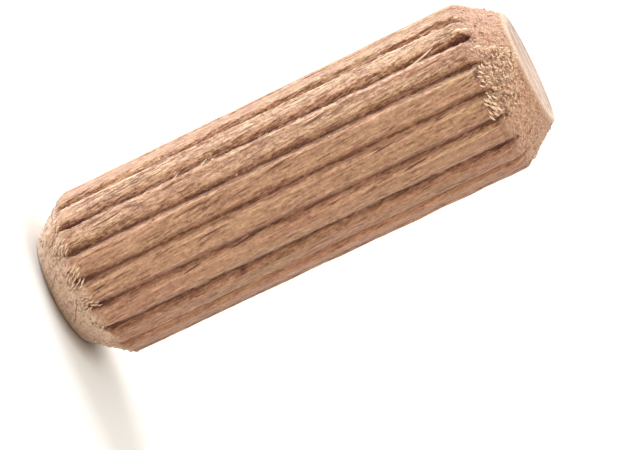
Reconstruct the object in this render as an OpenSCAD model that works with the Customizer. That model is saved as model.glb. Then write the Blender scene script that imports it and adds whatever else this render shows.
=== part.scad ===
// Fluted wooden dowel pin: a straight rod with shallow flutes along its whole
// length, cut to length and chamfered at both ends, all in one piece.
// It stands on its lower end face, centred on the origin, with +Z along its axis.

/* [Blank] */
// Diameter over the lands between the flutes
pin_d = 10.15; // [9:0.05:12]
// Length between the two end faces
pin_len = 30; // [20:0.5:60]

/* [Flutes] */
// Number of flutes around the pin
flute_count = 18; // [8:1:22]
// Width of a flute across its mouth
flute_w = 0.88; // [0.5:0.02:1.1]
// Depth of a flute below the lands
flute_depth = 0.28; // [0.15:0.01:0.4]
// Radius of the rolled floor of a flute
floor_r = 0.1; // [0.04:0.01:0.14]

/* [Ends] */
// Diameter of each end face, measured to the edge it would have unrounded
end_d = 6.7; // [5:0.1:7.5]
// Length of each chamfer along the axis
chamfer_len = 2.4; // [1.5:0.1:4]
// Radius that tumbling leaves where a chamfer meets the lands
shoulder_r = 1; // [0.2:0.1:1.5]
// Radius that tumbling leaves around an end face
rim_r = 0.25; // [0.05:0.05:0.5]

/* [Hidden] */
$fn = 96;

pin_r = pin_d / 2;
end_r = end_d / 2;
flute_pitch = 360 / flute_count;
// One flute faces the front, which is -Y.
first_flute = -90;
// How far the flute cutter runs past the lands.
cutter_over = 0.5;
// Angle between a chamfer's surface and the axis.
chamfer_angle = atan2(pin_r - end_r, chamfer_len);

// Centre of the floor's arc, on the flute's own radius.
floor_x = pin_r - flute_depth + floor_r;
// Upper corner of a flute's mouth, on the land circle.
mouth = [sqrt(pow(pin_r, 2) - pow(flute_w / 2, 2)), flute_w / 2];
// Direction from the floor's centre to the point where the wall leaves the floor.
mouth_reach = norm(mouth - [floor_x, 0]);
wall_angle = atan2(mouth.y, mouth.x - floor_x) + acos(floor_r / mouth_reach);
wall_foot = [floor_x, 0] + floor_r * [cos(wall_angle), sin(wall_angle)];
wall_run = (mouth - wall_foot) / norm(mouth - wall_foot);
wall_top = mouth + cutter_over * wall_run;

// Section of one flute: two straight walls that run into a round floor.
module flute_section() {
    polygon([
        wall_foot,
        wall_top,
        [wall_top.x, -wall_top.y],
        [wall_foot.x, -wall_foot.y]
    ]);
    translate([floor_x, 0])
        circle(r = floor_r);
}

// Section of the fluted rod.
module rod_section() {
    difference() {
        circle(r = pin_r);
        for (i = [0 : flute_count - 1])
            rotate(first_flute + i * flute_pitch)
                flute_section();
    }
}

// Half section of one end of the envelope, from the end face at y = 0 up to
// y = top, with both of its edges rounded.
module end_half_section(top) {
    // A rounded edge takes this much off the faces on its two sides.
    rim_cut = rim_r * tan((90 - chamfer_angle) / 2);
    shoulder_cut = shoulder_r * tan(chamfer_angle / 2);
    slope = [sin(chamfer_angle), cos(chamfer_angle)];
    rim = [end_r, 0];
    shoulder = [pin_r, chamfer_len];
    polygon([
        [0, 0],
        [rim.x - rim_cut, 0],
        rim + rim_cut * slope,
        shoulder - shoulder_cut * slope,
        [pin_r, chamfer_len + shoulder_cut],
        [pin_r, top],
        [0, top]
    ]);
    translate([rim.x - rim_cut, rim_r])
        circle(r = rim_r);
    translate([pin_r - shoulder_r, chamfer_len + shoulder_cut])
        circle(r = shoulder_r);
}

// Solid that the fluted rod is trimmed to: its length and both chamfered ends.
module envelope() {
    rotate_extrude() {
        end_half_section(pin_len / 2);
        translate([0, pin_len])
            mirror([0, 1])
                end_half_section(pin_len / 2);
    }
}

module dowel_pin() {
    color([0.80, 0.62, 0.47])
        intersection() {
            linear_extrude(height = pin_len)
                rod_section();
            envelope();
        }
}

dowel_pin();
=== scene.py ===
# %% [markdown]
# # A fluted beech dowel pin
#
# A dowel pin is one short stick of beech. A die rolls shallow flutes along it, a saw cuts it to
# length, a cutter chamfers both ends, and a drum tumbles the pins until their edges soften.
# This lesson builds one such pin the same way: a fluted rod is drawn and raised, its ends are
# turned, and then wear, torn fibres and the wood itself are added.

# %% Load the frame
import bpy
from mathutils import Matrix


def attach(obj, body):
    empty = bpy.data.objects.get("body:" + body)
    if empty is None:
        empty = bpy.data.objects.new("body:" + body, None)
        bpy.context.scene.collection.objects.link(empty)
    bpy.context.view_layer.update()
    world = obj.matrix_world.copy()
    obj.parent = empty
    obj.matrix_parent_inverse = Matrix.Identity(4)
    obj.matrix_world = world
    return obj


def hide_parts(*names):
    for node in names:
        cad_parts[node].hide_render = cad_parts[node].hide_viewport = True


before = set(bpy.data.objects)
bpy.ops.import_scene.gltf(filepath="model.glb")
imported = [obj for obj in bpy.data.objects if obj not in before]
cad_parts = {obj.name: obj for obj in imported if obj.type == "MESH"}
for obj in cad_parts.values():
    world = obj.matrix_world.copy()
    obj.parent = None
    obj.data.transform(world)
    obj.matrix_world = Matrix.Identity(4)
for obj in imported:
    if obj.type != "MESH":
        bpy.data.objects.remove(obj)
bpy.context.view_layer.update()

# %% Sizes
import math
import random

import bpy
from mathutils import Matrix, Quaternion, Vector

MM = 0.001
PIN_R = 5.075
PIN_LEN = 30.0
print("pin:", 2 * PIN_R, "mm over the lands,", PIN_LEN, "mm long")

# %% [markdown]
# ## Arithmetic on sockets
#
# Sums shape the wood and colour it. Nodes could be placed one by one, but a formula is easier to
# read. So a small class wraps a node's output socket, and the signs of arithmetic add Math nodes.

# %% The Wire and Graph classes


def sign(operation, swapped=False):
    """A method of Wire that adds one Math node, its two sides swapped if wanted."""

    def add_node(wire, other):
        sides = (other, wire) if swapped else (wire, other)
        return wire.graph.maths(operation, *sides)

    return add_node


class Wire:
    """An output socket in a node tree, with arithmetic."""

    def __init__(self, graph, socket):
        self.graph = graph
        self.socket = socket

    __add__ = sign("ADD")
    __sub__ = sign("SUBTRACT")
    __mul__ = sign("MULTIPLY")
    __truediv__ = sign("DIVIDE")
    __pow__ = sign("POWER")
    __lt__ = sign("LESS_THAN")
    __gt__ = sign("GREATER_THAN")
    __radd__ = sign("ADD", swapped=True)
    __rsub__ = sign("SUBTRACT", swapped=True)
    __rmul__ = sign("MULTIPLY", swapped=True)
    __rtruediv__ = sign("DIVIDE", swapped=True)

    def size(self):
        """The number without its sign."""
        return self.graph.maths("ABSOLUTE", self)

    def step_up(self, start, full):
        """0 at start and 1 at full, smooth between and level beyond. Start may be the larger."""
        settings = {"interpolation_type": "SMOOTHSTEP"}
        inputs = {"Value": self, "From Min": start, "From Max": full}
        return self.graph.node("ShaderNodeMapRange", inputs, settings)

    def step_down(self, ebb, end):
        """1 at ebb and 0 at end, smooth between and level beyond."""
        return 1 - self.step_up(ebb, end)

    def peaks(self):
        """A wave with its middle flattened."""
        return self * self.size() * 2.4

    def tint(self, amount, stain):
        """A colour multiplied by a stain, as far as the amount says."""
        return self.graph.mix(amount, self, stain, blend="MULTIPLY")


class Graph:
    """A node tree that is written as expressions."""

    def __init__(self, tree):
        self.tree = tree

    def node(self, kind, inputs=None, settings=None, out=0):
        """Adds any node, with links or numbers on its sockets, and returns one output."""
        made = self.tree.nodes.new(kind)
        for name, value in (settings or {}).items():
            setattr(made, name, value)
        for name, value in (inputs or {}).items():
            if isinstance(value, Wire):
                self.tree.links.new(value.socket, made.inputs[name])
            else:
                made.inputs[name].default_value = value
        return Wire(self, made.outputs[out]) if made.outputs else made

    def maths(self, operation, *values):
        """Adds one Math node, whose inputs are sockets or plain numbers."""
        return self.node("ShaderNodeMath", dict(enumerate(values)), {"operation": operation})

    def smaller(self, a, b):
        return self.maths("MINIMUM", a, b)

    def larger(self, first, *others):
        """The largest of two or more numbers."""
        for other in others:
            first = self.maths("MAXIMUM", first, other)
        return first

    def mix(self, factor, a, b, blend="MIX"):
        """Mixes two colours."""
        settings = {"data_type": "RGBA", "blend_type": blend}
        return self.node("ShaderNodeMix", {0: factor, 6: a, 7: b}, settings, out=2)

    def xyz(self, x, y, z):
        return self.node("ShaderNodeCombineXYZ", {"X": x, "Y": y, "Z": z})

    def split(self, vector):
        """The three parts of a vector."""
        parts = self.node("ShaderNodeSeparateXYZ", {"Vector": vector})
        return [Wire(self, socket) for socket in parts.socket.node.outputs]

    def noise(self, vector, detail=2.0, roughness=0.5, distortion=0.0):
        """Smooth noise from about -1 to 1."""
        inputs = {"Vector": vector, "Scale": 1.0, "Detail": detail}
        inputs.update({"Roughness": roughness, "Distortion": distortion})
        return self.node("ShaderNodeTexNoise", inputs) * 2 - 1


print("Wire and Graph are ready")

# %% [markdown]
# ## Small helpers for modelling
#
# Every operator acts on what is selected, so each piece starts with nothing selected, and
# vertices are picked in code by their place. Moves that differ from point to point are formulas
# in a Geometry Nodes modifier, which is applied at once.

# %% Helpers for modelling


def deselect_all():
    bpy.ops.object.select_all(action="DESELECT")


def pick_vertices(obj, wanted):
    """Selects the vertices of obj that wanted(vertex) accepts, and goes to edit mode."""
    bpy.ops.object.mode_set(mode="EDIT")
    bpy.ops.mesh.select_mode(type="VERT")
    bpy.ops.mesh.select_all(action="DESELECT")
    bpy.ops.object.mode_set(mode="OBJECT")
    for vertex in obj.data.vertices:
        vertex.select = wanted(vertex)
    bpy.ops.object.mode_set(mode="EDIT")


def make_finish(name, constants, look=None):
    """A Principled material: constants go on its sockets, and look(graph) gives what varies."""
    finish = bpy.data.materials.new(name)
    finish.use_nodes = True
    shader = finish.node_tree.nodes["Principled BSDF"]
    for socket, value in constants.items():
        shader.inputs[socket].default_value = value
    varied = look(Graph(finish.node_tree)) if look else {}
    for socket, wire in varied.items():
        finish.node_tree.links.new(wire.socket, shader.inputs[socket])
    return finish


def count_triangles(obj):
    return sum(len(face.vertices) - 2 for face in obj.data.polygons)


def apply_graph(obj, name, build):
    """Adds a Geometry Nodes modifier whose tree build(graph, geometry) makes, and applies it."""
    tree = bpy.data.node_groups.new(name, "GeometryNodeTree")
    for way in ("INPUT", "OUTPUT"):
        tree.interface.new_socket("Geometry", in_out=way, socket_type="NodeSocketGeometry")
    graph = Graph(tree)
    shaped = build(graph, graph.node("NodeGroupInput"))
    graph.node("NodeGroupOutput", {"Geometry": shaped})
    bpy.context.view_layer.objects.active = obj
    bpy.ops.object.modifier_add(type="NODES")
    modifier = obj.modifiers[-1]
    modifier.node_group = tree
    bpy.ops.object.modifier_apply(modifier=modifier.name)
    bpy.data.node_groups.remove(tree)


def store(graph, geometry, name, value):
    """Stores a number at every point of a geometry, for the material to read."""
    inputs = {"Geometry": geometry, "Name": name, "Value": value}
    return graph.node("GeometryNodeStoreNamedAttribute", inputs)


print("helpers are ready")

# %% [markdown]
# ## Camera
#
# The pin stands on its end, as such a pin rests. The camera is rolled, so that in its view the
# pin climbs to the right and leans a little towards the viewer. It could be turned by eye, but
# those angles place it exactly: they give the pin's axes as the camera sees them, and the
# reverse of that is the camera's place.

# %% The camera
IMAGE_W, IMAGE_H = 627, 450
# Where the middle of the pin lies in the view, and the lens as a focal length in pixels.
PIN_CENTRE_PX = (293.8, 179.7)
FOCAL_PX = 3003.0
CAMERA_AWAY = 172.4 * MM
PIN_RISE = math.radians(25.46)
PIN_LEAN = math.radians(10.05)
PIN_ROLL = math.radians(1.0)

across_px = PIN_CENTRE_PX[0] - IMAGE_W / 2
down_px = PIN_CENTRE_PX[1] - IMAGE_H / 2
centre_seen = Vector((across_px, -down_px, -FOCAL_PX)) / FOCAL_PX * CAMERA_AWAY
in_plane = math.cos(PIN_LEAN)
axis_seen = Vector(
    (in_plane * math.cos(PIN_RISE), in_plane * math.sin(PIN_RISE), math.sin(PIN_LEAN))
)
towards = -centre_seen
back_seen = -(towards - axis_seen * towards.dot(axis_seen)).normalized()
back_seen.rotate(Quaternion(axis_seen, PIN_ROLL))
side_seen = back_seen.cross(axis_seen)
base_seen = centre_seen - axis_seen * (PIN_LEN * MM / 2)
pin_in_view = Matrix((side_seen, back_seen, axis_seen)).transposed().to_4x4()
pin_in_view.translation = base_seen

deselect_all()
bpy.ops.object.camera_add()
camera = bpy.context.object
camera.name = "camera"
camera.data.sensor_width = 36.0
camera.data.lens = FOCAL_PX / IMAGE_W * camera.data.sensor_width
camera.matrix_world = pin_in_view.inverted()
camera.data.clip_start = 0.01
camera.data.clip_end = 50.0
bpy.context.scene.camera = camera
print("camera at", [round(part * 1000, 1) for part in camera.location], "mm")

# %% [markdown]
# ## Light and floor
#
# Bare lamps would cut hard shadows into the flutes, so there are five large soft boxes. Two are
# strong: a cool one above the pin in the view and a little behind it, and a white one over the
# standing pin. Weak warm ones light it from the front and from below, and one lights its back. A
# pale floor and a dim warm sky fill the shadows. The camera sees that sky as white, so no dark
# band shows beyond the floor.

# %% Lights
view_axes = camera.matrix_world.to_3x3()
view_up = view_axes.col[1]
towards_camera = view_axes.col[2]
upright = Vector((0, 0, 1))
pin_middle = upright * (PIN_LEN * MM / 2)


def soft_box(name, direction, size, strength, colour=(1, 1, 1), distance=2.5):
    """A square area light that faces the pin. Strength is the light that a white card would get."""
    deselect_all()
    place = pin_middle + direction.normalized() * distance
    bpy.ops.object.light_add(type="AREA", location=place)
    lamp = bpy.context.object
    lamp.name = name
    lamp.rotation_euler = direction.to_track_quat("Z", "Y").to_euler()
    lamp.data.size = size
    lamp.data.color = colour
    lamp.data.energy = strength * math.pi**2 * distance**2


COOL = (0.95, 1.05, 1.15)
WARM = (1.04, 0.96, 0.88)
AMBER = (1.10, 0.93, 0.78)
IVORY = (1.02, 0.98, 0.92)
soft_box("key_box", view_up - 0.2 * towards_camera, 1.7, 1.70, COOL)
soft_box("top_box", upright, 3.2, 1.81)
soft_box("front_box", towards_camera, 1.8, 0.20, WARM)
soft_box("low_box", towards_camera * 0.8 - view_up, 1.8, 0.10, AMBER)
soft_box("back_box", upright * 0.5 - towards_camera, 3.0, 0.34, IVORY)
bpy.context.scene.view_settings.view_transform = "Standard"

# %% The sky
SKY_COLOUR = (1.0, 0.94, 0.86, 1)
SKY_LIGHT = 0.17

world = bpy.data.worlds.new("sky")
world.use_nodes = True
background = world.node_tree.nodes["Background"]
background.inputs["Color"].default_value = SKY_COLOUR
background.inputs["Strength"].default_value = SKY_LIGHT
sky = Graph(world.node_tree)
dim_sky = Wire(sky, background.outputs[0])
white_sky = sky.node("ShaderNodeBackground", {"Color": (1, 1, 1, 1)})
by_camera = sky.node("ShaderNodeLightPath")
both_skies = sky.node("ShaderNodeMixShader", {0: by_camera, 1: dim_sky, 2: white_sky})
sky.tree.links.new(both_skies.socket, sky.tree.nodes["World Output"].inputs["Surface"])
bpy.context.scene.world = world
print("sky light:", SKY_LIGHT)

# %% The floor
PAPER_COLOUR = (0.67, 0.645, 0.60, 1)

deselect_all()
bpy.ops.mesh.primitive_plane_add(size=10)
floor = bpy.context.object
floor.name = "floor"
paper = make_finish("floor_paper", {"Base Color": PAPER_COLOUR, "Roughness": 0.9})
floor.data.materials.append(paper)
print("floor:", round(floor.dimensions.x), "m wide")

# %% [markdown]
# ## The fluted section
#
# A flute has a small round floor, two straight walls, and two lips that tumbling has rounded into
# the lands. A Boolean could cut it from a rod, but would leave ragged faces along the lips. So
# the rod is drawn end-on first: a circle with twenty points to each flute. Most of these columns
# are turned a little, to put more of them on the walls and lips, and those inside a flute are
# then drawn in to its depth.

# %% The flute's shape
FLUTES = 18
COLUMNS = 20
PITCH = 360 / FLUTES
HALF_MOUTH = 0.52
# Angle from a flute's centre line to its mouth.
FLUTE_HALF = math.degrees(math.asin(HALF_MOUTH / PIN_R))
FLUTE_DEPTH = 0.3
FLOOR_R = 0.1
LIP_R = 0.3
# Angles from a flute's centre line to each of its columns, out to the middle of the land.
COLUMN_ANGLES = [0, 0.7, 1.4, 2.2, 3.0, 3.7, 4.5, 5.3, 6.3, 8.1, 10]
FIRST_FLUTE = -90


def ray_at(degrees):
    return Vector((math.cos(math.radians(degrees)), math.sin(math.radians(degrees))))


def circle_crossing(centre, radius, ray, side):
    """How far along a ray from the axis a circle is crossed, on its near (-1) or far (1) side."""
    along = centre.dot(ray)
    return along + side * math.sqrt(max(along**2 - centre.length_squared + radius**2, 0))


def flute_depth(angle):
    """How far below the lands a flute's surface lies, at an angle from its centre line."""
    if angle >= FLUTE_HALF:
        return 0.0
    floor_centre = Vector((PIN_R - FLUTE_DEPTH + FLOOR_R, 0))
    lip_centre = ray_at(FLUTE_HALF) * (PIN_R - LIP_R)
    gap = lip_centre - floor_centre
    # The wall is the line that touches both circles and passes between them.
    lean = math.atan2(gap.y, gap.x) + math.acos((FLOOR_R + LIP_R) / gap.length)
    wall_normal = ray_at(math.degrees(lean))
    foot = floor_centre + wall_normal * FLOOR_R
    top = lip_centre - wall_normal * LIP_R
    ray = ray_at(angle)
    if math.radians(angle) < math.atan2(foot.y, foot.x):
        return PIN_R - circle_crossing(floor_centre, FLOOR_R, ray, -1)
    if math.radians(angle) > math.atan2(top.y, top.x):
        return PIN_R - circle_crossing(lip_centre, LIP_R, ray, 1)
    return PIN_R - foot.dot(wall_normal) / ray.dot(wall_normal)


print("flute:", [round(flute_depth(angle), 3) for angle in COLUMN_ANGLES], "mm deep by column")

# %% The fluted section
deselect_all()
bpy.ops.mesh.primitive_circle_add(vertices=FLUTES * COLUMNS, radius=PIN_R * MM)
pin = bpy.context.object
pin.name = "fluted_pin"


def column_of(vertex):
    """A vertex's column, counted from the nearest flute's centre line: -9 to 10."""
    angle = math.degrees(math.atan2(vertex.co.y, vertex.co.x)) - FIRST_FLUTE
    column = round(angle / PITCH * COLUMNS) % COLUMNS
    return column - COLUMNS if column > COLUMNS // 2 else column


columns = [column_of(vertex) for vertex in pin.data.vertices]
for side in (-1, 1):
    for step, wanted_angle in enumerate(COLUMN_ANGLES[1:-1], start=1):
        pick_vertices(pin, lambda vertex: columns[vertex.index] == side * step)
        turn = math.radians(wanted_angle - step * PITCH / COLUMNS) * side
        bpy.ops.transform.rotate(
            value=-turn, orient_axis="Z", orient_type="GLOBAL", center_override=(0, 0, 0)
        )
for step, wanted_angle in enumerate(COLUMN_ANGLES):
    depth = flute_depth(wanted_angle)
    if depth > 0:
        pick_vertices(pin, lambda vertex: abs(columns[vertex.index]) == step)
        scale = 1 - depth / PIN_R
        bpy.ops.transform.resize(value=(scale, scale, 1), center_override=(0, 0, 0))
bpy.ops.object.mode_set(mode="OBJECT")
radii = [vertex.co.length / MM for vertex in pin.data.vertices]
print("section:", len(radii), "points,", round(min(radii), 3), "to", round(max(radii), 3), "mm out")

# %% [markdown]
# ## Raising the rod
#
# The section is extruded ring by ring. Subdividing one long extrusion would spread the rings
# evenly, while the chamfers and the torn fibres need them close together at both ends.

# %% Raise the rod
CHAMFER_LEN = 2.4
END_R = 3.35
SHOULDER_R = 1.0
RIM_R = 0.25


def spread(start, end, count):
    """Heights from start to end, without start itself."""
    return [start + (end - start) * step / count for step in range(1, count + 1)]


half_heights = [0.0] + spread(0, 0.11, 4) + spread(0.11, 3.0, 46) + spread(3.0, 4.0, 9)
half_heights += spread(4.0, PIN_LEN / 2, 50)
heights = half_heights + [PIN_LEN - height for height in reversed(half_heights[:-1])]

pick_vertices(pin, lambda vertex: True)
for lower, upper in zip(heights, heights[1:]):
    bpy.ops.mesh.extrude_region_move(
        TRANSFORM_OT_translate={"value": (0, 0, (upper - lower) * MM)}
    )
bpy.ops.object.mode_set(mode="OBJECT")
print("rod:", len(heights), "rings,", count_triangles(pin), "triangles")

# %% [markdown]
# ## Turning the ends
#
# A cutter turns each end to a cone, and tumbling rounds its two corners. A bevel needs a clean
# edge, which the end of a fluted rod lacks. So each point that stands out past the turned outline
# is drawn in to it, and the flutes run out on the cones by themselves. The material will read two
# numbers from each point: whether the cutter reached it, and how deep it lies in a flute.

# %% Turn the ends
CHAMFER_ANGLE = math.atan2(PIN_R - END_R, CHAMFER_LEN)
SHOULDER_CUT = SHOULDER_R * math.tan(CHAMFER_ANGLE / 2)
RIM_CUT = RIM_R * math.tan((math.pi / 2 - CHAMFER_ANGLE) / 2)


def turned_radius(graph, depth):
    """The radius that the lathe leaves at a distance from the end, with both corners rounded."""
    cone = END_R + depth * math.tan(CHAMFER_ANGLE)
    rim_height = RIM_CUT * math.cos(CHAMFER_ANGLE)
    rim_rise = graph.larger(RIM_R**2 - (RIM_R - depth) ** 2, 0) ** 0.5
    rim = END_R - RIM_CUT + rim_rise
    arc_start = CHAMFER_LEN - SHOULDER_CUT * math.cos(CHAMFER_ANGLE)
    arc_end = CHAMFER_LEN + SHOULDER_CUT
    arc = PIN_R - SHOULDER_R + graph.larger(SHOULDER_R**2 - (depth - arc_end) ** 2, 0) ** 0.5
    in_rim = depth < rim_height
    in_cone = (1 - in_rim) * (depth < arc_start)
    in_arc = (depth < arc_end) * (1 - (depth < arc_start))
    on_shank = 1 - (depth < arc_end)
    return in_rim * rim + in_cone * cone + in_arc * arc + on_shank * PIN_R


def turn_ends(graph, rod):
    x, y, z = graph.split(graph.node("GeometryNodeInputPosition"))
    height = z / MM
    radius = (x * x + y * y) ** 0.5 / MM
    limit = turned_radius(graph, graph.smaller(height, PIN_LEN - height))
    kept = graph.smaller(radius, limit)
    scale = kept / radius
    marked = store(graph, rod, "end_grain", (radius - limit).step_up(-0.01, 0.03))
    marked = store(graph, marked, "flute_depth", limit - kept)
    place = graph.xyz(x * scale, y * scale, z)
    return graph.node("GeometryNodeSetPosition", {"Geometry": marked, "Position": place})


apply_graph(pin, "turn_ends", turn_ends)
rim_ring = [v.co.xy.length / MM for v in pin.data.vertices if v.co.z < 1e-6]
print("end face radius:", round(sum(rim_ring) / len(rim_ring), 3), "mm")

# %% [markdown]
# ## Closing the end faces
#
# The saw leaves each end flat. One many-sided face would close it, but couldn't carry the marks
# of the saw, so it is filled with a grid of small faces. Then all faces are turned outwards.

# %% Close the end faces
for end_height in (0.0, PIN_LEN * MM):
    pick_vertices(pin, lambda vertex: abs(vertex.co.z - end_height) < 1e-6)
    bpy.ops.mesh.fill_grid(span=FLUTES * COLUMNS // 4)
bpy.ops.mesh.select_all(action="SELECT")
bpy.ops.mesh.normals_make_consistent(inside=False)
bpy.ops.object.mode_set(mode="OBJECT")
bpy.ops.object.shade_smooth()
print("closed pin:", count_triangles(pin), "triangles")

# %% [markdown]
# ## Places on the wood
#
# Wear and colour both depend on where a point lies: how far round the pin, and how far from an
# end and from a flute. Masks could be painted, but formulas serve both. The fibres don't quite
# follow the pin, and what runs with them is measured in a frame that leans as they do.

# %% Places on the wood
GRAIN_SLOPE = math.radians(4.5)
DEGREE = math.pi / 180
# How far the flutes wind round the pin, in degrees to a mm of its length.
FLUTE_TWIST = 0.09
# Radius halfway up a chamfer.
MEAN_CONE_R = 4.2
# Heading of the cutter's strokes over the lower chamfer, in radians from the pin's axis.
STROKE_HEADING = 0.42


class Spot:
    """Where a point of the wood is, in mm: on the pin, and in the frame of its fibres."""

    def __init__(self, graph, position):
        self.graph = graph
        self.x, self.y, self.z = (part / MM for part in graph.split(position))
        self.grain_x = self.x * math.cos(GRAIN_SLOPE) + self.z * math.sin(GRAIN_SLOPE)
        self.grain_z = self.z * math.cos(GRAIN_SLOPE) - self.x * math.sin(GRAIN_SLOPE)
        self.radius = (self.x * self.x + self.y * self.y) ** 0.5
        # Degrees round from the side that faces the viewer, upwards in the view.
        self.turn = graph.maths("ARCTAN2", self.x * -1, self.y * -1) / DEGREE
        self.from_end = graph.smaller(self.z, PIN_LEN - self.z)
        # Degrees from the nearest flute's centre line, upwards in the view.
        untwisted = self.turn + (self.z - PIN_LEN / 2) * FLUTE_TWIST
        self.off_flute = graph.maths("FRACT", (untwisted + PITCH / 2) / PITCH) * PITCH - PITCH / 2

    def fibres(self, across, along, **settings):
        """Noise stretched along the fibres: how many waves to a mm across them and along."""
        place = self.graph.xyz(self.grain_x * across, self.y * across, self.grain_z * along)
        return self.graph.noise(place, **settings)

    def strokes(self, heading, across, along, **settings):
        """Noise in strokes that climb round a chamfer at a heading, as the cutter leaves them."""
        graph = self.graph
        turn = self.z * (math.tan(heading) / MEAN_CONE_R)
        cosine = graph.maths("COSINE", turn)
        sine = graph.maths("SINE", turn)
        scale = MEAN_CONE_R * across / graph.larger(self.radius, 0.5)
        x = (self.x * cosine - self.y * sine) * scale
        y = (self.y * cosine + self.x * sine) * scale
        return graph.noise(graph.xyz(x, y, self.z * along), **settings)

    def lumps(self, scale, **settings):
        """Noise that is the same every way."""
        place = self.graph.xyz(self.x * scale, self.y * scale, self.z * scale)
        return self.graph.noise(place, **settings)

    def fleck(self, turn, start, end, width):
        """1 inside a slender dash that follows the fibres from one height to another."""
        middle = (start + end) / 2
        along = (self.z - middle) / ((end - start) / 2)
        drift = math.tan(GRAIN_SLOPE) / (PIN_R * DEGREE)
        off = self.turn - turn - (self.z - middle) * drift
        across = off * (PIN_R * DEGREE / (width / 2))
        return (across * across + along * along).step_down(0.5, 1.3)

    def crack(self, turn, z, end_turn, end_z, width):
        """1 on a thin line that wanders over a chamfer, from one turn and height to another."""
        arc = MEAN_CONE_R * DEGREE
        across = (end_turn - turn) * arc
        along = end_z - z
        length = math.hypot(across, along)
        u = (self.turn - turn) * arc
        v = self.z - z
        share = (u * across + v * along) / length**2
        wander = self.lumps(2.5) * 0.16
        off = ((u * along - v * across) / length + wander) / (width / 2)
        inside = (share - 0.5) * 2
        return (off * off + inside**8).step_down(0.5, 1.4)

    def flute_end(self):
        """1 where a flute runs out on a chamfer, and soft around it."""
        across = self.off_flute / 4.5
        along = (self.from_end - 1.85) / 0.55
        return (across * across + along * along).step_down(0.4, 1.2)

    def burr(self):
        """1 along each flute's lower lip, soft to both sides: the burr, and a painted highlight
        there.
        """
        off = (self.off_flute + 5.3) / 1.1
        return (off * off).step_down(0.0, 1.0)

    def blunt_end(self):
        """1 in the last stretch of a flute at both ends, where it stops short."""
        across = (self.off_flute + 0.4).size()
        along = (self.from_end - across * across * 0.025).step_up(1.72, 2.0)
        along = along * self.from_end.step_down(2.5, 4.2)
        return along * across.step_down(1.6, 4.2)

    def strip(self, start, full, ebb, end):
        """1 on a strip along the pin, from one turn to another, and smooth at both edges."""
        return self.turn.step_up(start, full) * self.turn.step_down(ebb, end)

    def torn_and_highlit_side(self):
        """1 on the strip above the middle as the viewer sees it: torn most by the die, and painted
        with a highlight.
        """
        return self.strip(14, 27, 60, 72)

    def shaded_low_side(self):
        """1 on the strip, below the middle as the viewer sees it, that painted shade darkens."""
        return self.strip(-40, -52, -80, -100)

    def torn_wall(self):
        """1 on the upper wall of a flute where the die tore it wide."""
        off = (self.off_flute - 2.1) / 2.0
        return (off * off).step_down(0.2, 1.0) * self.torn_and_highlit_side()

    def wide_floor_shade(self):
        """1 on the lower wall of the flutes low in the view, which painted shade darkens across
        their width.
        """
        off = (self.off_flute + 3.4) / 3.6
        return (off * off).step_down(0.35, 1.2) * self.strip(-30, -38, -48, -54)

    def patch(self, turn, z, half_turn, half_length):
        """1 inside an oval on the side of the pin, 0 outside it, and soft between."""
        across = (self.turn - turn) / half_turn
        along = (self.z - z) / half_length
        return ((across * across + along * along) ** 0.5).step_down(0.6, 1.1)


print("fibres lean by", round(math.degrees(GRAIN_SLOPE), 1), "degrees")

# %% [markdown]
# ## Wear and torn fibres
#
# Rolling crushes the wood, so the floors of the flutes are rough, their lips chip or stand up as a
# burr, and one side is torn. The cutter works across the fibres: it leaves grit and curled crumbs,
# coarsest in a few patches of the upper end, blunt and pitted flute ends, and one torn pocket.
# Sculpting couldn't be repeated, so noise and listed patches move the points: along the
# radius on the sides, and inward on the end faces, so that the pin still stands flat.

# %% Where the wood is torn
# Turn and height of the pocket that the cutter tore at the end of one flute.
POCKET = (42.0, 27.40)
# Tufts of torn fibres on the near side: turn, height, half turn, half height, how many fibres,
# their heading, their length and their width.
NEAR_TUFTS = [
    (4.0, 1.80, 8.0, 0.50, 20, STROKE_HEADING, 0.48, 0.095),
    (-14.5, 2.00, 5.5, 0.45, 14, 0.10, 0.44, 0.090),
    (28.0, 1.60, 6.0, 0.60, 16, STROKE_HEADING, 0.50, 0.085),
    (44.0, 1.40, 6.5, 0.65, 14, STROKE_HEADING, 0.50, 0.085),
    (-34.0, 1.75, 2.5, 0.25, 3, 0.20, 0.34, 0.080),
    (-9.0, 27.55, 6.5, 0.30, 12, -0.92, 0.42, 0.100),
    (9.0, 27.75, 5.0, 0.25, 6, -0.60, 0.34, 0.090),
]


def frayed(spot):
    """1 under the tufts of the near side, with a ragged edge."""
    beds = [
        spot.patch(turn, z, half_turn + 2, half_height + 0.15)
        for turn, z, half_turn, half_height, *_ in NEAR_TUFTS
    ]
    return spot.graph.larger(*beds) * spot.lumps(4.0).step_up(-0.35, 0.15)


# Middles of the patches of curled crumbs on the near side of the upper chamfer: turn and height.
NEAR_PATCHES = [(5.0, 28.55), (-9.0, 28.4), (17.0, 28.9)]


def curly(spot):
    """1 where an end is cut roughest: in the patches of the near side, and by chance elsewhere."""
    near = [spot.patch(turn, z, 15, 1.0) for turn, z in NEAR_PATCHES]
    far = spot.lumps(0.5).step_up(0.0, 0.25) * spot.turn.size().step_up(70, 110)
    return spot.graph.larger(*near, far)


print(len(NEAR_TUFTS), "tufts and", len(NEAR_PATCHES), "patches on the near side")

# %% Wear and torn fibres
# Radius of the flat end face, inside its rim.
FACE_R = END_R - RIM_CUT


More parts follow.
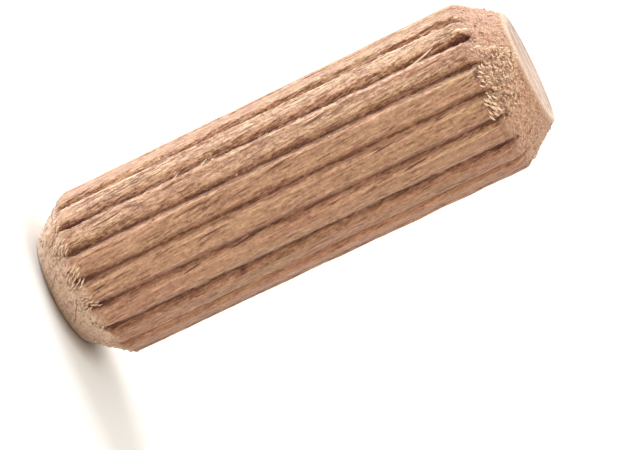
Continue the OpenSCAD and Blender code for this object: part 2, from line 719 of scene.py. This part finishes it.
def weather(graph, wood):
    spot = Spot(graph, graph.node("GeometryNodeInputPosition"))
    envelope = turned_radius(graph, spot.from_end)
    side = 1 - (spot.radius < FACE_R - 0.002) * (spot.from_end < 0.001)
    depth = (envelope - spot.radius) * side
    in_flute = depth.step_up(0.03, 0.14)
    on_lip = depth.step_up(0.002, 0.02) * depth.step_down(0.05, 0.12)
    on_cone = spot.from_end.step_down(CHAMFER_LEN - 0.5, CHAMFER_LEN + 0.15)
    on_shank = 1 - on_cone
    run_out = spot.from_end.step_down(CHAMFER_LEN - 0.1, CHAMFER_LEN + 1.2)
    upper_end = spot.z.step_up(10, 20)

    # The rolled side: it sways a little, its fibres stand as streaks, and its flutes are torn.
    sway = spot.fibres(0.45, 0.08, detail=1.0) * 0.05
    streaks = spot.fibres(3.5, 0.45, detail=3.0, roughness=0.7) * 0.06
    torn = spot.fibres(4.5, 1.5, detail=3.0, roughness=0.8) * (0.20 + 0.22 * spot.torn_and_highlit_side())
    burr = spot.burr() * (0.040 + spot.fibres(2.0, 0.5) * 0.045)
    chips = spot.fibres(3.5, 1.3).step_up(0.1, 0.35) * 0.06
    hollow = spot.torn_wall() * (0.075 + spot.fibres(2.5, 0.7) * 0.10)
    hollow = graph.larger(hollow, 0) * (1 - run_out)
    deeper = depth * spot.lumps(0.35, detail=1.0) * 0.35
    blunt = spot.blunt_end() * (0.10 + spot.lumps(2.5) * 0.10) * (1 - 0.4 * upper_end)

    # The chamfers: curled crumbs and grit, and the cutter's strokes round the lower one.
    coarse = 1 - upper_end * 0.50 * (1 - curly(spot))
    curls = spot.lumps(2.4, detail=1.0, distortion=1.4).size()
    curls = (1 - graph.smaller(curls * 5, 1)) * (0.05 + 0.08 * upper_end) * coarse
    grit = spot.lumps(4.5, roughness=0.7) * (0.15 + 0.14 * upper_end) * coarse
    strokes = spot.strokes(STROKE_HEADING, 3.2, 0.9) * (1 - upper_end) * 0.10
    rough_cut = on_cone * spot.from_end.step_up(0.05, 0.40)
    rags = spot.fibres(4.0, 2.0, roughness=0.7, distortion=0.8) * 0.28
    ragged = spot.lumps(3.0, roughness=0.8).step_up(-0.45, 0.05)
    pocket = spot.patch(*POCKET, 3.2, 0.7) * ragged * 0.32
    pits = spot.flute_end() * spot.lumps(3.5, detail=1.0).step_up(-0.2, 0.2) * 0.05

    move = sway * on_shank + streaks * on_shank * (1 - in_flute)
    move = move + torn * in_flute - chips * on_lip * on_shank
    move = move + (curls + grit + strokes - 0.04 - 0.05 * upper_end) * rough_cut
    move = move + rags * run_out * in_flute
    move = move - frayed(spot) * 0.07
    move = move + burr * spot.from_end.step_up(1.9, 2.4)
    move = move - pocket - pits - deeper - blunt - hollow
    reach = spot.radius + move * side
    # The flutes wind a little, so every ring is turned.
    turn = (spot.z - PIN_LEN / 2) * (FLUTE_TWIST * DEGREE)
    cosine = graph.maths("COSINE", turn) * reach / spot.radius
    sine = graph.maths("SINE", turn) * reach / spot.radius

    # The end faces are saw-rough.
    saw = spot.lumps(1.6, detail=3.0, roughness=0.65).size() * 0.12
    lift = spot.radius.step_up(FACE_R, FACE_R - 0.25) * saw * (1 - side)
    z = spot.z + lift * (1 - 2 * (spot.z > PIN_LEN / 2))
    place = graph.xyz(
        (spot.x * cosine - spot.y * sine) * MM, (spot.x * sine + spot.y * cosine) * MM, z * MM
    )

    cut = graph.node("GeometryNodeInputNamedAttribute", {"Name": "end_grain"})
    marked = store(graph, wood, "end_grain", graph.larger(cut, 1 - side))
    # The pocket, pits and blunt flute ends are stored deeper than they are cut, so the beech paints
    # more shade in them.
    marked = store(graph, marked, "flute_depth", depth + (pocket + pits * 2 + blunt * 1.2) * side)
    marked = store(graph, marked, "end_face", 1 - side)
    return graph.node("GeometryNodeSetPosition", {"Geometry": marked, "Position": place})


apply_graph(pin, "weather", weather)
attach(pin, "root")
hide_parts("dowel_pin")
print("weathered pin:", [round(side / MM, 3) for side in pin.dimensions], "mm")

# %% [markdown]
# ## Beech
#
# A wrapped image would break at the ends. So the colour is worked out from the place inside the
# wood, and every face shows the same rings, rays and streaks. Rays run towards the viewer: the
# near side shows them end-on, as short dark dashes, and the upper and lower sides as broad
# flecks. Where the wood is crushed, torn or cut, its colour is mixed with a stain. Painted shade
# and light are mixed in the same way: shade in the flute floors, pits and pocket, under the tufts,
# between the crumbs, on the low side and on the upper side of the upper chamfer, and light on the
# cut wood, the lips, the torn side and the rims.

# %% The colours of the wood
# Rays that show best on the near side: turn in degrees, start, end and width in mm.
FLECKS = [
    (-7.6, 2.7, 3.6, 0.11),
    (-6.2, 4.1, 5.0, 0.07),
    (31.0, 4.0, 6.0, 0.09),
    (13.3, 4.7, 5.9, 0.06),
    (-23.0, 7.8, 9.0, 0.08),
    (-6.6, 9.5, 11.4, 0.08),
    (-21.2, 10.8, 13.3, 0.09),
    (13.2, 14.4, 15.9, 0.06),
    (30.6, 17.4, 18.9, 0.09),
    (-5.4, 20.4, 22.0, 0.08),
    (-24.6, 21.5, 23.2, 0.09),
    (17.0, 7.50, 7.72, 0.13),
    (-36.0, 9.68, 9.95, 0.15),
    (-37.0, 16.85, 17.15, 0.15),
    (61.0, 16.4, 17.6, 0.10),
    (60.5, 18.7, 19.2, 0.10),
]
# Fine cracks on the lower chamfer: turn and height where each starts and ends, and its width.
CRACKS = [
    (5.8, 0.10, 16.2, 0.96, 0.07),
    (-9.1, 1.50, -20.8, 0.95, 0.09),
    (-20.8, 0.95, -31.0, 0.50, 0.06),
    (118.0, 0.20, 122.0, 1.30, 0.07),
    (-127.0, 0.30, -119.0, 1.10, 0.06),
]
RING_GAP = 2.3
PITH = (6.0, 34.0)
BUMP_HEIGHT = 0.045 * MM

DARK_WOOD = (0.218, 0.082, 0.038, 1)
PALE_WOOD = (0.783, 0.467, 0.278, 1)
LATE_WOOD = (0.383, 0.178, 0.102, 1)
RAY = (0.142, 0.049, 0.027, 1)
CRACK = (0.142, 0.067, 0.04, 1)
RIM_HIGHLIGHT = (0.63, 0.46, 0.325, 1)
DARK_FACE = (0.26, 0.15, 0.092, 1)
PALE_FACE = (0.54, 0.395, 0.29, 1)
SAW_MARK = (0.235, 0.15, 0.10, 1)
# Stains, which the wood's colour is multiplied by. Those named shade, highlight or light are
# painted.
YELLOW = (0.96, 1.03, 0.90, 1)
PINK = (1.02, 0.93, 0.98, 1)
CRUSHED_AND_SHADED = (0.64, 0.50, 0.45, 1)
CREVICE_SHADE = (0.50, 0.42, 0.40, 1)
LIP_HIGHLIGHT = (1.26, 1.28, 1.30, 1)
WIDE_FLOOR_SHADE = (0.70, 0.61, 0.57, 1)
LOW_SIDE_SHADE = (0.92, 0.84, 0.79, 1)
BOTTOM_SHADE = (0.84, 0.77, 0.72, 1)
TORN_SIDE_HIGHLIGHT = (1.10, 1.18, 1.23, 1)
PIT_SHADE = (0.50, 0.41, 0.38, 1)
TUFT_SHADE = (0.38, 0.29, 0.26, 1)
CUT_WOOD_AND_LIGHT = (1.48, 1.64, 1.80, 1)
CUT_UPPER_SIDE_SHADE = (0.80, 0.755, 0.71, 1)
CUT_LOWER_END = (0.96, 1.07, 1.20, 1)
print(len(FLECKS), "rays and", len(CRACKS), "cracks placed by hand")

# %% The wood's waves and masks


class Wood(Spot):
    """The beech at one point: where it is, how it was cut, and the waves that its looks share."""

    def __init__(self, graph):
        super().__init__(graph, graph.node("ShaderNodeTexCoord", out=3))
        self.end_grain = self.stored("end_grain")
        self.flute = self.stored("flute_depth")
        self.end_face = self.stored("end_face")
        self.on_side = 1 - self.end_grain
        self.lower_cone = self.on_chamfer(self.z.step_up(20, 10))
        self.fine = self.fibres(4.5, 0.5, detail=1.0, roughness=0.7).peaks()
        self.speckle = self.lumps(6.5, roughness=0.8)
        self.rub = self.fibres(4.5, 1.2, roughness=0.8)
        # Where the flutes are deep: crushed wood, and painted shade in these hollows.
        self.crushed_and_shaded = (self.flute + self.rub * 0.25).step_up(0.06, 0.30)
        self.dash = self.rays()

    def stored(self, name):
        """A number that was stored at the points of the mesh."""
        return self.graph.node("ShaderNodeAttribute", settings={"attribute_name": name}, out=2)

    def on_chamfer(self, value):
        return value * self.end_grain * (1 - self.end_face)

    def rays(self):
        """1 on the rays: dashes on the near side, and flecks on the upper and lower sides."""
        graph = self.graph
        place = graph.xyz(self.grain_x * 1.25, self.y * 0.16, self.grain_z * 0.17)
        ray = graph.node("ShaderNodeTexVoronoi", {"Vector": place, "Scale": 1.0})
        chance = graph.split(Wire(graph, ray.socket.node.outputs["Color"]))[0]
        dash = ray.step_down(0.05, 0.085) * chance.step_up(0.35, 0.9) * 0.7
        return graph.larger(dash, *[self.fleck(*fleck) for fleck in FLECKS])


print("Wood is ready")

# %% The beech


def tone_and_relief(wood):
    """How light the wood is, from its darkest fibres at 0 to its palest at 1, and its relief."""
    graph = wood.graph
    speckle = wood.speckle
    end_grain = wood.end_grain
    lower_cone = wood.lower_cone
    broad = wood.fibres(1.1, 0.05)
    medium = wood.fibres(2.2, 0.16, detail=1.0)
    thin = wood.fibres(8.5, 0.9, detail=1.0, roughness=0.7).peaks()
    vessels = wood.fibres(8.0, 0.8, detail=0.0).step_up(0.38, 0.6)
    dots = wood.fibres(7.5, 2.8, roughness=0.8)
    fibrous = thin * 0.85 + wood.fine * 0.45 + medium * 0.12 + broad * 0.12 - vessels * 0.40
    fibrous = (fibrous + dots * 0.65) * wood.on_side * (1 + wood.torn_and_highlit_side())

    # Curled crumbs, the gaps between them with their painted shade, and the strokes of the cutter.
    coarse = 0.45 + 0.55 * graph.larger(curly(wood), lower_cone)
    worms = wood.lumps(3.0, roughness=0.7, distortion=1.4).size()
    worms = 1 - graph.smaller(worms * 4, 1.4)
    stir = wood.lumps(2.2, detail=1.0) * 0.9
    place = graph.xyz(wood.x * 4.5 + stir, wood.y * 4.5 - stir, wood.z * 4.5 + stir)
    settings = {"feature": "DISTANCE_TO_EDGE"}
    edge = graph.node("ShaderNodeTexVoronoi", {"Vector": place, "Scale": 1.0}, settings)
    gap = wood.on_chamfer((edge + speckle * 0.06).step_down(0.02, 0.13))
    torn = wood.strokes(STROKE_HEADING, 6.5, 1.6, roughness=0.75)
    torn = graph.larger(torn.peaks(), -0.3) * lower_cone
    torn = torn * (0.35 + 0.65 * wood.from_end.step_up(0.9, 1.9))

    tone = 0.512 + fibrous + speckle * (0.22 + 0.45 * end_grain * coarse - 0.30 * lower_cone)
    tone = tone + worms * 0.25 * end_grain * coarse + torn * 1.1
    # Painted shade in the gaps between the crumbs.
    tone = tone - gap * 0.38 * coarse * (1 - 0.65 * lower_cone)
    # Painted light: coarse patches of the chamfers are paler and smooth parts darker, against the
    # shade their crumbs cast.
    tone = tone + wood.on_chamfer((coarse - 0.87) * 0.55 - 0.04 * lower_cone)
    relief = (thin * 0.8 + wood.fine * 1.1 - vessels * 0.5) * wood.on_side - wood.dash
    relief = relief + speckle * (1.3 - end_grain * (1 - coarse) - 0.9 * lower_cone)
    crumbs = (worms * 0.5 - gap * 0.8) * end_grain * coarse * (1 - 0.7 * lower_cone)
    return tone, relief + crumbs + torn * 1.1


def colour_growth(wood, colour):
    """Adds yellow and pink streaks, a thin redder line at the end of each year, and the rays."""
    graph = wood.graph
    hue = wood.fibres(1.6, 0.07)
    colour = colour.tint(hue.step_up(0.05, 0.4) * (0.8 - 0.6 * wood.lower_cone), YELLOW)
    colour = colour.tint(hue.step_up(-0.05, -0.4) * 0.8, PINK)
    from_pith = ((wood.grain_x - PITH[0]) ** 2 + (wood.y - PITH[1]) ** 2) ** 0.5
    year = graph.maths("FRACT", (from_pith + wood.fibres(0.3, 0.03) * 1.2) / RING_GAP)
    late = year.step_up(0.55, 0.97) * year.step_down(0.97, 1.0)
    colour = graph.mix(late * 0.25, colour, LATE_WOOD)
    return graph.mix(wood.dash * 0.9, colour, RAY)


def colour_flutes(wood, colour):
    """Darkens flute floors with crushed wood and painted shade; paints highlights on the lips."""
    faint = wood.turn.step_up(-48, -54) * wood.shaded_low_side()
    # Crushed wood and painted shade: the flute floors darken with their depth.
    colour = colour.tint(wood.crushed_and_shaded * (0.85 - 0.5 * faint), CRUSHED_AND_SHADED)
    # Painted shade: a narrow dark crevice along the deepest part of each flute.
    crevice_shade = (wood.flute + wood.rub * 0.12 + wood.fine * 0.08).step_up(0.255, 0.30)
    colour = colour.tint(crevice_shade * (1 - 0.5 * faint), CREVICE_SHADE)
    # Painted highlight on the lips, strongest along the lower lip of each flute as seen.
    lip_highlight = wood.flute.step_up(0.002, 0.02) * wood.flute.step_down(0.05, 0.10)
    lip_highlight = wood.graph.larger(lip_highlight * 0.5, wood.burr()) * wood.on_side
    colour = colour.tint(lip_highlight, LIP_HIGHLIGHT)
    # Painted shade across the width of the flutes below the middle as seen.
    return colour.tint(wood.wide_floor_shade() * (0.8 + wood.rub) * wood.on_side, WIDE_FLOOR_SHADE)


def colour_sides(wood, colour):
    """Paints shade on the low side, most at the bottom, and a highlight on the torn side."""
    shaded_low_side = wood.shaded_low_side()
    # Painted shade: the side below the middle as seen is darker and browner, most at the bottom.
    colour = colour.tint(shaded_low_side * wood.on_side, LOW_SIDE_SHADE)
    bottom_shade = wood.turn.step_up(-62, -80) * shaded_low_side * wood.on_side
    colour = colour.tint(bottom_shade, BOTTOM_SHADE)
    # Painted highlight: the lands on the upper side as seen are paler and creamier.
    torn_and_highlit_side = wood.torn_and_highlit_side() * wood.on_side * (1 - wood.crushed_and_shaded)
    return colour.tint(torn_and_highlit_side, TORN_SIDE_HIGHLIGHT)


def colour_chamfers(wood, colour):
    """Paints shade in pits and tuft beds, pales cut wood partly with painted light, greys it,
    cracks it.
    """
    graph = wood.graph
    # Painted shade in the pits, the pocket and the blunt flute ends on the chamfers.
    pit_shade = wood.on_chamfer(wood.flute.step_up(0.07, 0.16))
    colour = colour.tint(pit_shade, PIT_SHADE)
    # Painted shade under the tufts, where their fibres would shade the wood.
    tuft_shade = frayed(wood) * wood.lumps(5.0, detail=1.0).step_up(-0.3, 0.2) * wood.end_grain
    colour = colour.tint(tuft_shade, TUFT_SHADE)
    # Cut wood is paler and greyer than the side, and painted light brightens it further, for the
    # light the chamfers miss.
    cut_pale_and_lit = colour.tint(1.0, CUT_WOOD_AND_LIGHT)
    # Painted shade: the upper side of the upper chamfer as seen is darkened.
    upper_side_shade = wood.turn.step_up(15, 40) * (1 - wood.lower_cone)
    cut_pale_and_lit = cut_pale_and_lit.tint(upper_side_shade, CUT_UPPER_SIDE_SHADE)
    cut_pale_and_lit = cut_pale_and_lit.tint(wood.lower_cone, CUT_LOWER_END)
    cut = (wood.from_end + wood.lumps(1.8, detail=3.0) * 0.7).step_down(1.75, 2.45)
    colour = graph.mix(cut * wood.end_grain * (1 - wood.crushed_and_shaded), colour, cut_pale_and_lit)
    split = graph.larger(*[wood.crack(*line) for line in CRACKS])
    return graph.mix(split * 0.65 * wood.end_grain, colour, CRACK)


def colour_end_faces(wood, colour):
    """Adds the sawn faces, with a turned ring and one bowed saw mark on each, and rim highlights.
    """
    graph = wood.graph
    near_half = wood.y.step_down(-0.5, 2.0)
    fuzz = wood.speckle * 0.25
    # Painted highlight along the rounded rims, and on the face only on its half nearer the viewer.
    rim = graph.larger(
        (1 - wood.end_face) * (wood.from_end + fuzz).step_down(0.06, 0.28),
        wood.end_face * (wood.radius + fuzz).step_up(2.75, 3.15) * near_half,
    )
    sawn = graph.noise(graph.xyz(wood.x * 0.12, wood.y * 1.1, 0), detail=3.0, roughness=0.7)
    face = graph.mix(0.50 + sawn * 2.6 + wood.speckle * 0.8, DARK_FACE, PALE_FACE)
    off_ring = (wood.radius + wood.lumps(0.8) * 0.08 - 2.5) / 0.12
    ring = (off_ring * off_ring).step_down(0.1, 1.0)
    off_mark = (wood.y + 1.0 + wood.x * wood.x * 0.10) / 0.42
    mark = (off_mark * off_mark).step_down(0.1, 1.0)
    face = graph.mix(graph.larger(ring * 0.45, mark * 0.55), face, SAW_MARK)
    colour = graph.mix(wood.end_face * 0.9, colour, face)
    return graph.mix(rim * (0.65 + wood.speckle * 0.5), colour, RIM_HIGHLIGHT)


def beech_look(graph):
    wood = Wood(graph)
    tone, relief = tone_and_relief(wood)
    colour = graph.mix(tone, DARK_WOOD, PALE_WOOD)
    for step in (colour_growth, colour_flutes, colour_sides, colour_chamfers, colour_end_faces):
        colour = step(wood, colour)
    rough = 0.6 + wood.fine * 0.15 + wood.crushed_and_shaded * 0.2 - wood.end_face * 0.15
    bump = {"Height": relief, "Strength": 1.0, "Distance": BUMP_HEIGHT}
    normal = graph.node("ShaderNodeBump", bump)
    return {"Base Color": colour, "Roughness": rough, "Normal": normal}


beech = make_finish("beech", {"Specular IOR Level": 0.25, "Sheen Weight": 0.22}, beech_look)
pin.data.materials.append(beech)
print("beech:", len(beech.node_tree.nodes), "nodes")

# %% [markdown]
# ## Raised fibres
#
# The cutter leaves short curls on the upper chamfer, strokes round the lower one, and tufts where
# flutes run out. Single fibres have lifted off the flutes' lips and the upper chamfer, and two
# splinters lie over the torn pocket. A particle system couldn't lay each in its own place. So
# each is a thin tapered curve laid on the worn surface, and those of a kind become one mesh.

# %% Laying one fibre


def surface_radius(turn, z):
    """The radius at which a ray that runs in towards the axis meets the weathered pin, in mm."""
    around = math.radians(turn)
    outward = Vector((-math.sin(around), -math.cos(around), 0))
    start = outward * (PIN_R + 1) * MM + Vector((0, 0, z * MM))
    found, place, _, _ = pin.ray_cast(start, -outward)
    return place.xy.length / MM if found else PIN_R


def on_pin(turn, z, radius):
    """A point from its turn in degrees and its height and radius in mm."""
    around = math.radians(turn)
    return Vector((-radius * math.sin(around), -radius * math.cos(around), z)) * MM


def lay(path, rises, stiffness=0.5):
    """Lays a fibre on the pin along a path of turns and heights, each point raised by its rise.

    A stiff fibre bridges the hollows under it, and its foot is always in the wood.
    """
    radii = [surface_radius(turn, z) for turn, z in path]
    crest = max(radii)
    points = []
    for index, ((turn, z), radius, rise) in enumerate(zip(path, radii, rises)):
        held = radius if index == 0 else radius + (crest - radius) * stiffness
        points.append(on_pin(turn, z, held + rise))
    return points


def curl(turn, z, length, heading, bend, lift):
    """A fibre that starts at a place, runs at a heading and bends as it goes."""
    path = []
    rises = []
    for step in range(5):
        path.append((turn, z))
        rises.append(lift * math.sin(math.pi * step / 4) - 0.015)
        turn += math.sin(heading) * length / 4 / (MEAN_CONE_R * DEGREE)
        z += math.cos(heading) * length / 4 * math.cos(CHAMFER_ANGLE)
        heading += bend / 4
    return lay(path, rises)


def raise_fibres(name, fibres):
    """Makes one closed mesh of many tapered fibres, each given as its points and its width."""
    deselect_all()
    bpy.ops.curve.primitive_bezier_curve_add()
    bundle = bpy.context.object
    bundle.name = name
    curve = bundle.data
    curve.splines.clear()
    for points, width in fibres:
        spline = curve.splines.new("NURBS")
        spline.points.add(len(points) - 1)
        spline.use_endpoint_u = True
        spline.order_u = 3
        for index, (point, place) in enumerate(zip(spline.points, points)):
            point.co = (*place, 1)
            point.radius = width * (0.25 + 0.95 * math.sin(math.pi * index / (len(points) - 1)))
    curve.resolution_u = 2
    curve.bevel_depth = 0.5 * MM
    curve.bevel_resolution = 0
    curve.use_fill_caps = True
    bpy.ops.object.convert(target="MESH")
    bpy.ops.object.shade_smooth()
    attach(bundle, "root")
    return bundle


print("lands:", round(surface_radius(PITCH / 2, PIN_LEN / 2), 3), "mm from the axis")

# %% Curls, strokes and tufts
PATCH_CURLS = 34
LOOSE_CURLS = 130
STROKES = 420
dice = random.Random(7)


def jitter(value, by):
    return value + dice.uniform(-by, by)


def lay_curl(turn, z, length, width):
    """One curled crumb on a chamfer, heading any way."""
    heading = dice.uniform(0, 2 * math.pi)
    bend = dice.choice((-1, 1)) * dice.uniform(1.0, 4.5)
    return curl(turn, z, length, heading, bend, jitter(0.05, 0.03)), width


def tuft(turn, z, half_turn, half_height, count, heading, length, width):
    """Torn fibres that lie side by side in a patch, all heading much the same way."""
    fibres = []
    for step in range(count):
        # Golden steps spread the fibres evenly over the patch.
        across = 2 * (step * 0.618 % 1) - 1
        along = 2 * (step + 0.5) / count - 1
        points = curl(
            jitter(turn + half_turn * across, 0.5),
            jitter(z + half_height * along, 0.05),
            jitter(length, 0.08),
            jitter(heading, 0.15),
            jitter(0.0, 0.5),
            0.11,
        )
        fibres.append((points, jitter(width, 0.015)))
    return fibres


# Curls lie in patches on the upper chamfer, and singly between them.
curls = []
far_patches = [(dice.uniform(110, 250), PIN_LEN - dice.uniform(0.8, 1.9)) for _ in range(9)]
patches = NEAR_PATCHES + far_patches
for patch_turn, patch_z in patches:
    for _ in range(PATCH_CURLS):
        turn = dice.gauss(patch_turn, 7.0)
        z = min(max(dice.gauss(patch_z, 0.45), PIN_LEN - 2.3), PIN_LEN - 0.6)
        curls.append(lay_curl(turn, z, dice.uniform(0.20, 0.45), dice.uniform(0.08, 0.13)))
for _ in range(LOOSE_CURLS):
    turn = dice.uniform(-180, 180)
    z = PIN_LEN - dice.uniform(0.5, 2.2)
    curls.append(lay_curl(turn, z, dice.uniform(0.12, 0.28), dice.uniform(0.06, 0.10)))

# Strokes lie almost flush all round the lower chamfer, and stand up only on its upper side.
strokes = []
for _ in range(STROKES):
    length = dice.uniform(0.15, 0.40)
    z = dice.uniform(0.1 + length, 2.2)
    turn = dice.uniform(-180, 180)
    heading = dice.uniform(0.2, 1.2)
    lift = jitter(0.03, 0.02) if 0 < turn < 90 else 0.005
    bend = dice.choice((-1, 1)) * dice.uniform(0.0, 1.0)
    points = curl(turn, z, length, heading, bend, lift)
    strokes.append((points, dice.uniform(0.05, 0.09)))

# Tufts lie where the flutes run out. Those on the near side are listed one by one.
tufts = []
for place in NEAR_TUFTS:
    tufts += tuft(*place)
for flute in range(5, FLUTES - 4):
    for end_z, way in ((1.9, 1), (PIN_LEN - 2.2, -1)):
        turn = flute * PITCH - (end_z - PIN_LEN / 2) * FLUTE_TWIST + jitter(4.0, 3.0)
        heading = way * dice.uniform(0.3, 0.9)
        tufts += tuft(turn, jitter(end_z, 0.2), 4.5, 0.30, dice.randint(4, 10), heading, 0.40, 0.09)
print(len(curls), "curls,", len(strokes), "strokes,", len(tufts), "fibres in tufts")

# %% Single lifted fibres
# Turn and height where each starts and ends, its lift and its width. First come those on the
# flutes' lips, then three on the upper chamfer, and last the two splinters over the pocket.
WHISKERS = [
    (34.3, 7.9, 36.6, 8.9, 0.10, 0.09),
    (34.4, 8.95, 38.0, 9.95, 0.16, 0.10),
    (34.2, 10.6, 38.6, 11.8, 0.20, 0.10),
    (36.3, 11.95, 36.8, 12.1, 0.16, 0.11),
    (34.4, 23.8, 39.6, 26.0, 0.24, 0.105),
    (31.8, 17.4, 33.0, 19.0, 0.06, 0.07),
    (20.2, 12.97, 20.6, 13.08, 0.14, 0.09),
    (28.8, 18.72, 29.1, 18.84, 0.10, 0.09),
    (15.9, 18.65, 16.2, 18.78, 0.10, 0.08),
    (29.3, 27.95, 27.6, 28.50, 0.07, 0.09),
    (26.8, 28.65, 25.6, 29.05, 0.07, 0.08),
    (25.2, 29.15, 24.2, 29.50, 0.06, 0.08),
    (45.2, 27.20, 44.0, 27.80, 0.07, 0.21),
    (44.0, 27.62, 42.6, 28.15, 0.09, 0.21),
]
whiskers = []
for turn, z, end_turn, end_z, lift, width in WHISKERS:
    shares = [step / 6 for step in range(7)]
    # It leaves along the lip and hooks towards its end.
    path = [(turn + (end_turn - turn) * share**2.6, z + (end_z - z) * share) for share in shares]
    rises = [lift * math.sin(math.pi * 0.6 * share) - 0.01 for share in shares]
    whiskers.append((lay(path, rises, stiffness=1.0), width))
print(len(whiskers), "lifted fibres")

# %% Raised fibres
DARK_RAISED = (0.445, 0.24, 0.142, 1)
PALE_RAISED = (0.765, 0.534, 0.356, 1)
RAISED_LOWER_END = (0.96, 1.08, 1.20, 1)
DARK_LIFTED = (0.74, 0.45, 0.28, 1)
PALE_LIFTED = (0.95, 0.73, 0.52, 1)


def raised_look(graph):
    spot = Spot(graph, graph.node("ShaderNodeTexCoord", out=3))
    shade = 0.52 + spot.lumps(1.6, roughness=0.7) * 1.6
    colour = graph.mix(shade, DARK_RAISED, PALE_RAISED)
    colour = colour.tint(spot.z.step_up(20, 10), RAISED_LOWER_END)
    return {"Base Color": colour, "Roughness": 0.65 + spot.lumps(4.0) * 0.2}


def lifted_look(graph):
    spot = Spot(graph, graph.node("ShaderNodeTexCoord", out=3))
    shade = 0.7 + spot.lumps(2.5, detail=1.0)
    colour = graph.mix(shade, DARK_LIFTED, PALE_LIFTED)
    return {"Base Color": colour, "Roughness": 0.55 + spot.lumps(4.0) * 0.2}


raised = make_finish("raised_fibre", {"Specular IOR Level": 0.3, "Sheen Weight": 0.2}, raised_look)
lifted = make_finish("lifted_fibre", {"Specular IOR Level": 0.4}, lifted_look)


def over_pocket(points):
    """True for a fibre that would hang over the torn pocket."""
    first = points[0] / MM
    turn = math.degrees(math.atan2(-first.x, -first.y))
    return abs(turn - POCKET[0]) < 4 and abs(first.z - POCKET[1]) < 0.8


curls = [fibre for fibre in curls if not over_pocket(fibre[0])]
for name, fibres, finish in (
    ("upper_curls", curls, raised),
    ("lower_strokes", strokes, raised),
    ("flute_end_tufts", tufts, lifted),
    ("lip_whiskers", whiskers, lifted),
):
    bundle = raise_fibres(name, fibres)
    bundle.data.materials.append(finish)
    print(name + ":", len(fibres), "fibres,", count_triangles(bundle), "triangles")
